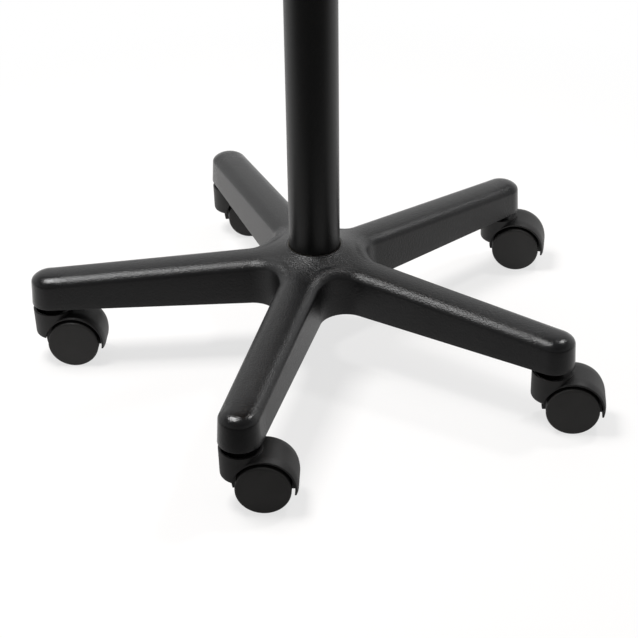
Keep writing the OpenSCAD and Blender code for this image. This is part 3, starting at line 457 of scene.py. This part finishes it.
def ringNodes(name, finish):  # node tree that sets copies of an item on a ring round the Z axis
    tree = bpy.data.node_groups.new(name, "GeometryNodeTree")
    face = tree.interface
    face.new_socket("Geometry", in_out="INPUT", socket_type="NodeSocketGeometry")
    keys = {
        title: face.new_socket(title, in_out="INPUT", socket_type="NodeSocket" + kind).identifier
        for title, kind in ringInputs.items()
    }
    face.new_socket("Geometry", in_out="OUTPUT", socket_type="NodeSocketGeometry")
    start = addNode(tree, "NodeGroupInput").outputs
    index = addNode(tree, "GeometryNodeInputIndex").outputs[0]
    step = calculated(tree, "DIVIDE", 2 * math.pi, start["Count"])
    angle = calculated(tree, "MULTIPLY_ADD", index, step, start["First angle"])
    x = calculated(tree, "MULTIPLY", calculated(tree, "COSINE", angle), start["Radius"])
    y = calculated(tree, "MULTIPLY", calculated(tree, "SINE", angle), start["Radius"])
    place = addNode(tree, "ShaderNodeCombineXYZ", {"X": x, "Y": y, "Z": start["Height"]}).outputs[0]
    spots = addNode(tree, "GeometryNodePoints", {"Count": start["Count"], "Position": place}).outputs[0]
    chance = addNode(tree, "FunctionNodeRandomValue", {"Seed": start["Seed"]}, data_type="FLOAT")
    numbers = [socket for socket in chance.inputs if socket.type == "VALUE"]
    lowest, highest = [socket for socket in numbers if socket.name in ("Min", "Max")]
    lowest.default_value, highest.default_value = -1.0, 1.0
    swing = next(socket for socket in chance.outputs if socket.type == "VALUE")
    turn = calculated(tree, "MULTIPLY_ADD", swing, start["Jitter"], angle)
    facing = addNode(tree, "ShaderNodeCombineXYZ", {"Z": turn}).outputs[0]
    copies = {"Points": spots, "Instance": start["Geometry"], "Rotation": facing}
    placed = addNode(tree, "GeometryNodeInstanceOnPoints", copies)
    real = addNode(tree, "GeometryNodeRealizeInstances", {"Geometry": placed.outputs[0]}).outputs[0]
    welded = addNode(tree, "GeometryNodeMergeByDistance", {"Geometry": real, "Distance": start["Weld"]})
    finished = addNode(tree, "GeometryNodeSetMaterial", {"Geometry": welded.outputs[0], "Material": finish})
    addNode(tree, "NodeGroupOutput", {"Geometry": finished.outputs[0]})
    return tree, keys


def aroundAxis(name, item, slot, count, firstAngle=0.0, radius=0.0, height=0.0, jitter=0.0, weld=0.0, seed=1):
    # copies of an item, facing outwards along +X, as one plain mesh; sizes in millimetres and degrees
    source = newPiece(name + "_item", *item, slot)
    closeUp(source.data)
    tree, keys = ringNodes(name + "_ring", finishes[slot])
    modifier = source.modifiers.new("ring", "NODES")
    modifier.node_group = tree
    values = {
        "Count": count, "First angle": math.radians(firstAngle), "Radius": radius * millimetre,
        "Height": height * millimetre, "Jitter": math.radians(jitter), "Weld": weld * millimetre,
        "Seed": seed,
    }
    for title, value in values.items():
        modifier[keys[title]] = value
    bpy.context.view_layer.update()
    mesh = bpy.data.meshes.new_from_object(source.evaluated_get(bpy.context.evaluated_depsgraph_get()))
    mesh.name = name
    source.modifiers.clear()
    bpy.data.objects.remove(source)
    return placedMesh(name, mesh)


# Five-armed base

starSizes = {  # millimetres, degrees or plain numbers
    "arms": 5, "firstArm": 183.3, "socketCircle": 261.6, "tipHalfWidth": 18.7, "rootHalfWidth": 20,
    "bottom": 64, "tipTop": 96, "fall": 3.4, "levelling": 8, "draft": 3.5, "shoulder": 16, "corner": 6,
    "crown": 67, "webReach": 53, "lip": 29, "lipTop": 116.5, "lipStep": 1, "sweepFrom": 62, "bore": 25.1,
    "wall": 3, "edge": 0.6, "sleeve": 30, "sleeveBottom": 57.5, "sleeveSink": 7.6, "boss": 10.5,
    "bossSink": 2.3, "socket": 5.6, "socketTop": 88, "ribThickness": 2.4, "ribBottom": 65.5, "ribStart": 27,
    "ribSink": 0.6, "ribBite": 1, "webRibStop": 1.5, "crossRibs": 6, "sweepLimit": 1.3, "join": 45,
}
starSteps = {
    "web": 18, "lip": 8, "arm": 44, "nose": 16, "wall": 4, "shoulder": 16, "crown": 10, "ridge": 24,
    "boss": 48, "sleeve": 96,
}


class Star:  # the rules of the base's shape, for one arm along +X
    halfPitch = 180 / starSizes["arms"]
    sine = math.sin(math.pi / starSizes["arms"])
    cosine = math.cos(math.pi / starSizes["arms"])
    webRadius = (starSizes["webReach"] * sine - starSizes["rootHalfWidth"]) / (1 - sine)
    webCentre = ((starSizes["webReach"] + webRadius) * cosine, (starSizes["webReach"] + webRadius) * sine)
    root = webCentre[0]
    slope = math.tan(math.radians(starSizes["fall"]))
    draft = math.radians(starSizes["draft"])
    join = math.radians(starSizes["join"])  # where the shoulder's wide upper arc meets its tight lower one
    shoulderIn = starSizes["corner"] + (starSizes["shoulder"] - starSizes["corner"]) * math.cos(join)


def halfWidth(x):
    share = (x - Star.root) / (starSizes["socketCircle"] - Star.root)
    root, tip = starSizes["rootHalfWidth"], starSizes["tipHalfWidth"]
    return root + (tip - root) * min(max(share, 0), 1)


def crownLine(r):  # falls along the arm and levels off over the socket
    short = starSizes["socketCircle"] - r
    return starSizes["tipTop"] + Star.slope * (short + math.hypot(short, starSizes["levelling"])) / 2


def crownHeight(x, y):  # height of the star's crown over a point, with the sweep up to the lip
    r = math.hypot(x, y)
    rise = starSizes["lipTop"] - starSizes["lipStep"] - crownLine(starSizes["lip"])
    reach = max(0, (starSizes["sweepFrom"] - r) / (starSizes["sweepFrom"] - starSizes["lip"]))
    return crownLine(r) + rise * min(reach, starSizes["sweepLimit"]) ** 2


def crownDrop(v, inset):
    crown = starSizes["crown"] - inset
    return crown - math.sqrt(crown * crown - v * v) if v > 0 else 0


def outlineRows():
    # for half an arm: outline point, inward direction, inner end, kind, and whether the lip ends the row
    rows = []
    cx, cy = Star.webCentre
    lip, circle = starSizes["lip"], starSizes["socketCircle"]
    for k in range(starSteps["web"] + 1):
        angle = math.radians(180 + Star.halfPitch + (90 - Star.halfPitch) * k / starSteps["web"])
        inward = (math.cos(angle), math.sin(angle))
        edge = (cx + Star.webRadius * inward[0], cy + Star.webRadius * inward[1])
        beyond = k - starSteps["lip"]
        if beyond <= 0:
            turn = math.radians(Star.halfPitch * (1 - k / starSteps["lip"]))
            end = (lip * math.cos(turn), lip * math.sin(turn))
        else:
            end = (lip + (Star.root - lip) * beyond / (starSteps["web"] - starSteps["lip"]), 0.0)
        rows.append((edge, inward, end, "web", beyond <= 0))
    for k in range(1, starSteps["arm"] + 1):
        x = Star.root + (circle - Star.root) * k / starSteps["arm"]
        rows.append(((x, halfWidth(x)), (0.0, -1.0), (x, 0.0), "side", False))
    for k in range(1, starSteps["nose"] + 1):
        angle = math.radians(90 * (1 - k / starSteps["nose"]))
        outward = (math.cos(angle), math.sin(angle))
        edge = (circle + starSizes["tipHalfWidth"] * outward[0], starSizes["tipHalfWidth"] * outward[1])
        rows.append((edge, (-outward[0], -outward[1]), (circle, 0.0), "nose", False))
    return rows


class Section:  # the drafted wall, shoulder and crown over one outline row, set in by inset
    def __init__(self, row, inset):
        self.edge, self.inward, self.end, self.kind, _ = row
        self.inset = inset
        fixed = {"web": starSizes["rootHalfWidth"], "nose": starSizes["tipHalfWidth"]}
        self.half = fixed.get(self.kind, halfWidth(self.edge[0]))
        span = starSizes["crown"] - starSizes["shoulder"]
        run = self.half - Star.shoulderIn
        drop = math.sqrt(span ** 2 - run ** 2) - starSizes["crown"]
        self.lean = math.asin(run / span)
        self.centre = crownHeight(*self.at(Star.shoulderIn)) + drop

    def at(self, distance):  # point that far in from the widest outline
        return self.edge[0] + self.inward[0] * distance, self.edge[1] + self.inward[1] * distance

    def shoulderPoint(self, turn):  # how far in and how high it is where its normal has turned up so far
        if turn > Star.join:
            radius = starSizes["shoulder"] - self.inset
            return Star.shoulderIn - radius * math.cos(turn), self.centre + radius * math.sin(turn)
        radius = starSizes["corner"] - self.inset
        lift = (starSizes["shoulder"] - starSizes["corner"]) * math.sin(Star.join)
        return starSizes["corner"] - radius * math.cos(turn), self.centre + lift + radius * math.sin(turn)

    def wallIn(self, z):  # how far in the wall stands at a height: it spreads towards the bottom
        across, top = self.shoulderPoint(Star.draft)
        return across - (top - z) * math.tan(Star.draft)

    def rimPoints(self):  # rounded bottom edge of the outer skin, plain on the inner one
        rounded = (0.6, 0.0), (0.3, 0.08), (0.08, 0.3), (0.0, 0.7)
        plain = (0, 0), (0, 0.25), (0, 0.5), (0, 0.75)
        for share, height in rounded if self.inset == 0 else plain:
            z = starSizes["bottom"] + height
            yield (*self.at(self.wallIn(z) + share * starSizes["edge"]), z)

    def points(self):  # from the bottom rim up the wall, over the shoulder and in to the row's end
        made = list(self.rimPoints())
        foot, top = made[-1][2], self.shoulderPoint(Star.draft)[1]
        for k in range(1, starSteps["wall"]):
            z = foot + (top - foot) * k / starSteps["wall"]
            made.append((*self.at(self.wallIn(z)), z))
        bend = math.pi / 2 - self.lean - Star.draft
        for k in range(starSteps["shoulder"] + 1):
            across, z = self.shoulderPoint(Star.draft + bend * k / starSteps["shoulder"])
            made.append((*self.at(across), z))
        x0, y0 = self.at(across)
        for k in range(1, starSteps["crown"] + 1):
            share = k / starSteps["crown"]
            x, y = x0 + (self.end[0] - x0) * share, y0 + (self.end[1] - y0) * share
            if self.kind == "web":
                fromCentre = math.hypot(x - Star.webCentre[0], y - Star.webCentre[1])
                v = max(0.0, self.half - fromCentre + Star.webRadius)
            else:
                v = (self.half - across) * (1 - share)
            made.append((x, y, crownHeight(x, y) - self.inset - crownDrop(v, self.inset)))
        return made


def lipPoints(angle, inset):  # from the sweep's end over the lip and down into the bore
    top, lip, bore = starSizes["lipTop"], starSizes["lip"], starSizes["bore"]
    if inset == 0:
        profile = [(lip - 0.25, top - 0.62), (lip - 0.7, top - 0.25), (lip - 1.4, top), (bore + 1.5, top),
                   (bore + 0.7, top - 0.2), (bore + 0.2, top - 0.7), (bore, top - 1.5), (bore, top - 8)]
    else:
        profile = [(lip - 1.5, crownLine(lip - 1) - inset)]
    return [(r * math.cos(angle), r * math.sin(angle), z) for r, z in profile]


def starSector():  # one closed fifth of the shell
    rows = outlineRows()
    points, faces = [], []

    def skin(inset, mirrored):
        grid = []
        for row in rows:
            line = Section(row, inset).points()
            if row[4]:
                line += lipPoints(math.atan2(row[2][1], row[2][0]), inset)
            if mirrored:
                line = [(x, -y, z) for x, y, z in line]
            grid.append([len(points) + k for k in range(len(line))])
            points.extend(line)
        for a, b in zip(grid, grid[1:]):
            for k in range(min(len(a), len(b)) - 1):
                faces.append((a[k], b[k], b[k + 1], a[k + 1]))
        return grid

    for mirrored in (False, True):
        outer, inner = skin(0, mirrored), skin(starSizes["wall"], mirrored)
        for k in range(len(rows) - 1):
            faces.append((outer[k][0], outer[k + 1][0], inner[k + 1][0], inner[k][0]))
            if rows[k + 1][4]:
                faces.append((outer[k][-1], outer[k + 1][-1], inner[k + 1][-1], inner[k][-1]))
    return points, faces


def ridge(r, angle):  # height of the skin along a ray: the arm's crown, or the web's shoulder
    if angle == 0:
        return crownLine(r) if r > starSizes["sweepFrom"] else crownHeight(r, 0)
    short = max(0, Star.shoulderIn - (starSizes["webReach"] - r))
    shoulder = starSizes["shoulder"]
    drop = starSizes["ribSink"] + shoulder - math.sqrt(shoulder ** 2 - short ** 2)
    return crownHeight(r, 0) - drop


def plateAcross(x, thickness):  # cross rib: the arm's own section, a little inside its skin, standing at x
    section = Section(((x, halfWidth(x)), (0.0, -1.0), (x, 0.0), "side", False), starSizes["wall"] / 2)
    foot = starSizes["ribBottom"]
    side = [p for p in section.points() if p[2] > foot + 1]
    ring = [(section.at(section.wallIn(foot))[1], foot)] + [(p[1], p[2]) for p in side]
    ring += [(-y, z) for y, z in reversed(ring[:-1])]
    return plate([(x - thickness / 2, y, z) for y, z in ring], (thickness, 0, 0))


def plateAlong(near, far, angle, thickness):  # rib from near to far along a ray from the axis
    bite, foot = starSizes["wall"] / 2, starSizes["ribBottom"]
    reach = [far + (near - far) * k / starSteps["ridge"] for k in range(starSteps["ridge"] + 1)]
    ring = [(near, foot), (far, foot)] + [(r, ridge(r, angle) - bite) for r in reach]
    c, s, h = math.cos(angle), math.sin(angle), thickness / 2
    return plate([(r * c + h * s, r * s - h * c, z) for r, z in ring], (-thickness * s, thickness * c, 0))


def socketBoss():
    s = starSizes
    top = s["tipTop"] - s["bossSink"]
    bore = [(0, s["socketTop"]), (s["socket"], s["socketTop"]), (s["socket"], s["bottom"] + 0.5)]
    foot = [(s["socket"] + 0.5, s["bottom"]), (s["boss"] - 0.3, s["bottom"]), (s["boss"], s["bottom"] + 0.3)]
    profile = bore + foot + [(s["boss"], top), (0, top)]
    return turned(profile, starSteps["boss"], (s["socketCircle"], 0))


def columnSleeve():
    s = starSizes
    low, high, bore, outer = s["sleeveBottom"], s["lipTop"] - s["sleeveSink"], s["bore"], s["sleeve"]
    foot = [(bore, low + 0.5), (bore + 0.5, low), (outer - 0.4, low), (outer, low + 0.4)]
    return turned(foot + [(outer, high), (bore, high)], starSteps["sleeve"])


def makeBase():
    s = starSizes
    thickness = s["ribThickness"]
    reach = s["socketCircle"] - s["sleeve"] - s["boss"]
    steps = s["crossRibs"] + 1
    ribs = [plateAcross(s["sleeve"] + reach * k / steps, thickness) for k in range(1, steps)]
    ribs.append(plateAlong(s["ribStart"], s["socketCircle"] - s["boss"] + s["ribBite"], 0, thickness))
    ribs.append(plateAlong(s["ribStart"], s["webReach"] - s["webRibStop"], math.pi / s["arms"], thickness))
    fifth = joined([starSector()] + ribs + [socketBoss()])
    base = aroundAxis("moulded_star_base", fifth, "base_nylon", s["arms"], s["firstArm"], weld=0.01)
    sleeve = newPiece("sleeve", *columnSleeve(), "base_nylon")
    whole = bmesh.new()
    whole.from_mesh(base.data)
    whole.from_mesh(sleeve.data)
    bmesh.ops.recalc_face_normals(whole, faces=whole.faces)
    whole.to_mesh(base.data)
    whole.free()
    bpy.data.objects.remove(sleeve)
    base.data.materials.clear()
    base.data.materials.append(finishes["base_nylon"])
    shade(base.data)
    keep(base, "base", "base_star")
    print("base is made:", len(base.data.polygons), "faces")


makeBase()

# Upholstered seat

seatSizes = {  # millimetres or plain numbers; swell is how far the simulated air may move the vinyl
    "radius": 173.6, "foot": 460, "under": 474.2, "top": 531.5, "seam": 170.6, "seamTop": 520, "steps": 96,
    "corner": 5, "footIn": 2.5, "taper": 0.6, "straightFrom": 22, "straightTo": 12,
    "crownFrom": (8, 5), "crown": ((148, 3), (125, 1.6), (80, 0.6), (40, 0.1), (0, 0)),
    "cell": 5, "pressure": 4, "frames": 20, "swell": 7, "heldRound": 4, "heldAbove": 3,
    "opening": 165.6, "openingRim": 1.5, "openingTurn": 2, "pucker": 0.55, "puckerReach": 11, "topShare": 0.3,
}
sewingSizes = {  # millimetres or plain numbers, and jitter in degrees
    "pipe": 2.5, "pipeOut": 0.9, "pipeUp": 0.6, "pipeSides": 12, "pipeSteps": 240,
    "stitches": 190, "length": 3.6, "thread": 0.8, "rings": 5, "sides": 6, "bow": 0.55, "end": 0.55,
    "out": 1.6, "drop": 6.5, "jitter": 1.5,
}
hemSizes = {  # millimetres or plain numbers
    "outer": 167.5, "inner": 139, "top": 461.35, "thickness": 0.9, "pleats": 74, "pleatDepth": 0.55,
    "steps": 592, "across": 7, "staples": 58, "stapleRing": 147, "stapleCrown": 10.5, "stapleWire": 0.6,
    "stapleBend": 0.9, "stapleLeg": 0.5,
}


def seatProfile():  # closed half section of the stuffed cover before it swells
    s = seatSizes
    foot, top, radius = s["foot"], s["top"], s["radius"]
    side = [(radius - s["footIn"], foot), (radius - s["taper"], foot + s["corner"]),
            (radius, foot + s["straightFrom"]), (radius - s["taper"], s["seamTop"] - s["straightTo"]),
            (s["seam"], s["seamTop"])]
    crown = [(s["seam"] - s["crownFrom"][0], s["seamTop"] + s["crownFrom"][1])]
    crown += [(r, top - fall) for r, fall in s["crown"]]
    return [(0, foot), (s["opening"], foot)] + side + crown


def puckers(angle):  # uneven pull of the sewing round the seam, from 0 to 1
    waves = (43, 0.3, 1.0), (61, 1.7, 0.8), (89, 4.1, 0.6), (17, 2.2, 0.5)
    return 0.5 + sum(share * math.sin(count * angle + phase) for count, phase, share in waves) / 5.8


def evenMesh(piece, cell):  # the piece's mesh made anew of squares of one size
    remesh = piece.modifiers.new("remesh", "REMESH")
    remesh.mode = "VOXEL"
    remesh.voxel_size = cell * millimetre
    bpy.context.view_layer.update()
    mesh = bpy.data.meshes.new_from_object(piece.evaluated_get(bpy.context.evaluated_depsgraph_get()))
    piece.modifiers.clear()
    piece.data = mesh
    return mesh


def blowUp(piece):  # cloth under air pressure, held at the seam and under the seat
    s = seatSizes
    mesh = evenMesh(piece, s["cell"])
    rest = np.array([v.co[:] for v in mesh.vertices]) / millimetre
    r = np.hypot(rest[:, 0], rest[:, 1])
    fromSeam = np.hypot(r - s["seam"], rest[:, 2] - s["seamTop"])
    held = (rest[:, 2] < s["foot"] + s["heldAbove"]) | (fromSeam < s["heldRound"])
    group = piece.vertex_groups.new(name="held")
    group.add([int(i) for i in np.nonzero(held)[0]], 1.0, "REPLACE")
    cloth = piece.modifiers.new("cloth", "CLOTH")
    cloth.settings.use_pressure = True
    cloth.settings.uniform_pressure_force = s["pressure"]
    cloth.settings.effector_weights.gravity = 0
    cloth.settings.vertex_group_mass = "held"
    cloth.point_cache.frame_start, cloth.point_cache.frame_end = 1, s["frames"]
    for number in range(1, s["frames"] + 1):
        bpy.context.scene.frame_set(number)
    bpy.context.view_layer.update()
    blown = piece.evaluated_get(bpy.context.evaluated_depsgraph_get())
    moved = np.array([v.co[:] for v in blown.data.vertices]) / millimetre - rest
    piece.modifiers.remove(cloth)
    bpy.context.scene.frame_set(1)
    far = np.linalg.norm(moved, axis=1, keepdims=True)
    rest = rest + moved * np.minimum(1, s["swell"] / np.maximum(far, 1e-9))
    return mesh, rest


def settle(rest):  # pulls the vinyl in beside the seam, and opens the cover underneath for the board
    s = seatSizes
    placed = rest.copy()
    for i, (x, y, z) in enumerate(rest):
        r, angle = math.hypot(x, y), math.atan2(y, x)
        gap = math.hypot(r - s["seam"], z - s["seamTop"])
        besideSeam = math.exp(-(gap / s["puckerReach"]) ** 2) * (1 - math.exp(-(gap / s["heldRound"]) ** 2))
        pull = s["pucker"] * puckers(angle) * besideSeam
        inRadius = r - (pull if z < s["seamTop"] else s["topShare"] * pull)
        placed[i, 2] = z - (pull if z >= s["seamTop"] else 0)
        if z < s["foot"] + s["openingRim"] and r < s["opening"] + s["openingRim"]:
            if r < s["opening"] - s["openingTurn"]:
                placed[i, 2] = s["under"]
            else:
                inRadius = s["opening"]
        placed[i, :2] = x * inRadius / max(r, 1e-9), y * inRadius / max(r, 1e-9)
    return placed


def stitch():  # one float of thread lying round the seat, bowed between its two holes
    s = sewingSizes
    length, thread, n, last = s["length"], s["thread"], s["sides"], s["rings"] - 1
    points, faces = [], []
    for k in range(last + 1):
        along = length * (k / last - 0.5)
        lift = thread * s["bow"] * (1 - (2 * along / length) ** 2)
        size = thread / 2 * (s["end"] if k in (0, last) else 1)
        turns = [2 * math.pi * j / n for j in range(n)]
        points += [(lift + size * math.cos(a), along, size * math.sin(a)) for a in turns]
    for k in range(last):
        here, after = k * n, (k + 1) * n
        faces += [(here + j, here + (j + 1) % n, after + (j + 1) % n, after + j) for j in range(n)]
    return points, faces + [tuple(range(n)), tuple(range((last + 1) * n - 1, last * n - 1, -1))]


def stapleBar():  # crown of a staple with its two bent ends, lying round the seat, below the hem
    t, half = hemSizes["stapleWire"], hemSizes["stapleCrown"] / 2
    bend, leg = hemSizes["stapleBend"], hemSizes["stapleLeg"]
    outline = [(-half, leg), (-half, -t), (half, -t), (half, leg), (half - bend, leg), (half - bend, 0),
               (-half + bend, 0), (-half + bend, leg)]
    return plate([(-t, y, z) for y, z in outline], (2 * t, 0, 0))


def hem():  # vinyl turned in under the board: pleated at the edge, cut a little uneven inside
    h = hemSizes
    points = []
    for k in range(h["steps"]):
        angle = 2 * math.pi * k / h["steps"]
        inner = h["inner"] + 1.6 * math.sin(9 * angle) + 1.1 * math.sin(23 * angle + 1)
        upper = []
        for j in range(h["across"]):
            share = j / (h["across"] - 1)
            r = inner + (h["outer"] - inner) * share
            fold = h["pleatDepth"] * share ** 1.5 * abs(math.sin(h["pleats"] * angle / 2)) ** 0.6
            upper.append((r * math.cos(angle), r * math.sin(angle), h["top"] - fold))
        points += upper + [(x, y, z - h["thickness"]) for x, y, z in reversed(upper)]
    return points, loftFaces(h["steps"], 2 * h["across"])


def makeCover():
    cover = newPiece("padded_vinyl_seat", *turned(seatProfile(), seatSizes["steps"]), "seat_vinyl")
    closeUp(cover.data)
    mesh, rest = blowUp(cover)
    for vertex, place in zip(mesh.vertices, settle(rest)):
        vertex.co = place * millimetre
    cover.vertex_groups.clear()
    finer = cover.modifiers.new("finer", "SUBSURF")
    finer.levels = finer.render_levels = 1
    cover.data.materials.clear()
    cover.data.materials.append(finishes["seat_vinyl"])
    cover.data.shade_smooth()
    keep(cover, "seat", "seat_cushion")
    print("cover is made:", len(mesh.vertices), "points")


def makeSewing():
    s, seam, seamTop = sewingSizes, seatSizes["seam"], seatSizes["seamTop"]
    x, z, size = seam + s["pipeOut"], seamTop + s["pipeUp"], s["pipe"]
    turns = [k * math.pi / (s["pipeSides"] / 2) for k in range(s["pipeSides"])]
    pipe = [(x + size * math.cos(a), z + size * math.sin(a)) for a in turns]
    piping = newPiece("seat_piping", *turned(pipe, s["pipeSteps"]), "seat_vinyl")
    closeUp(piping.data)
    shade(piping.data)
    keep(piping, "seat")
    thread = aroundAxis("seat_topstitch", stitch(), "seat_thread", s["stitches"],
                        radius=seam + s["out"], height=seamTop - s["drop"], jitter=s["jitter"], seed=4)
    shade(thread.data, 60)
    keep(thread, "seat")
    print("piping and topstitch are made")


def makeHem():
    h = hemSizes
    turnedIn = newPiece("turned_in_hem", *hem(), "seat_vinyl")
    closeUp(turnedIn.data)
    shade(turnedIn.data, 50)
    keep(turnedIn, "seat")
    staples = aroundAxis("hem_staples", stapleBar(), "zinc_steel", h["staples"], 2.0, h["stapleRing"],
                         h["top"] - h["thickness"], jitter=9, seed=11)
    keep(staples, "seat")
    print("hem and staples are made")


makeCover()
makeSewing()
makeHem()

# Weld bead under the seat plate

weldSizes = {  # millimetres or plain numbers
    "socketRadius": 18.5, "socketHeight": 437.5, "bead": 2.2, "sink": 0.3, "round": 0.9,
    "ripples": 46, "rippleDepth": 0.13, "stepsPerRipple": 6,
}


def weldBead():  # fillet of overlapping ripples round the taper socket
    w = weldSizes
    radius, height, steps = w["socketRadius"], w["socketHeight"], w["ripples"] * w["stepsPerRipple"]
    sink, full = w["sink"], w["round"]
    points = []
    for k in range(steps):
        angle = 2 * math.pi * k / steps
        beat = w["bead"] * (1 + w["rippleDepth"] * abs(math.sin(w["ripples"] * angle / 2)))
        ring = [(radius - sink, height + sink), (radius - sink, height - beat)]
        turns = [math.pi / 8 * j for j in (1, 2, 3)]
        ring += [(radius + beat * math.sin(a) * full, height - beat * math.cos(a) * full) for a in turns]
        ring += [(radius + beat, height), (radius + beat, height + sink)]
        points += [(r * math.cos(angle), r * math.sin(angle), z) for r, z in ring]
    return points, loftFaces(steps, len(ring))


def makeWeld():
    bead = newPiece("socket_weld", *weldBead(), "pressed_steel")
    closeUp(bead.data)
    bead.data.shade_smooth()
    keep(bead, "seat")
    print("weld is made")


makeWeld()

# Light past the seat


def lightPastSeat():  # the seat stands between the lamps and the base, so it throws no shadow from them
    passed = bpy.data.collections.new("lightPassesThese")
    for piece in bpy.data.objects:
        if piece.type == "MESH" and piece.parent == frame["bodies"]["seat"]:
            passed.objects.link(piece)
    for entry in passed.collection_objects:
        entry.light_linking.link_state = "EXCLUDE"
    for name in softboxes:
        bpy.data.objects[name].light_linking.blocker_collection = passed


lightPastSeat()
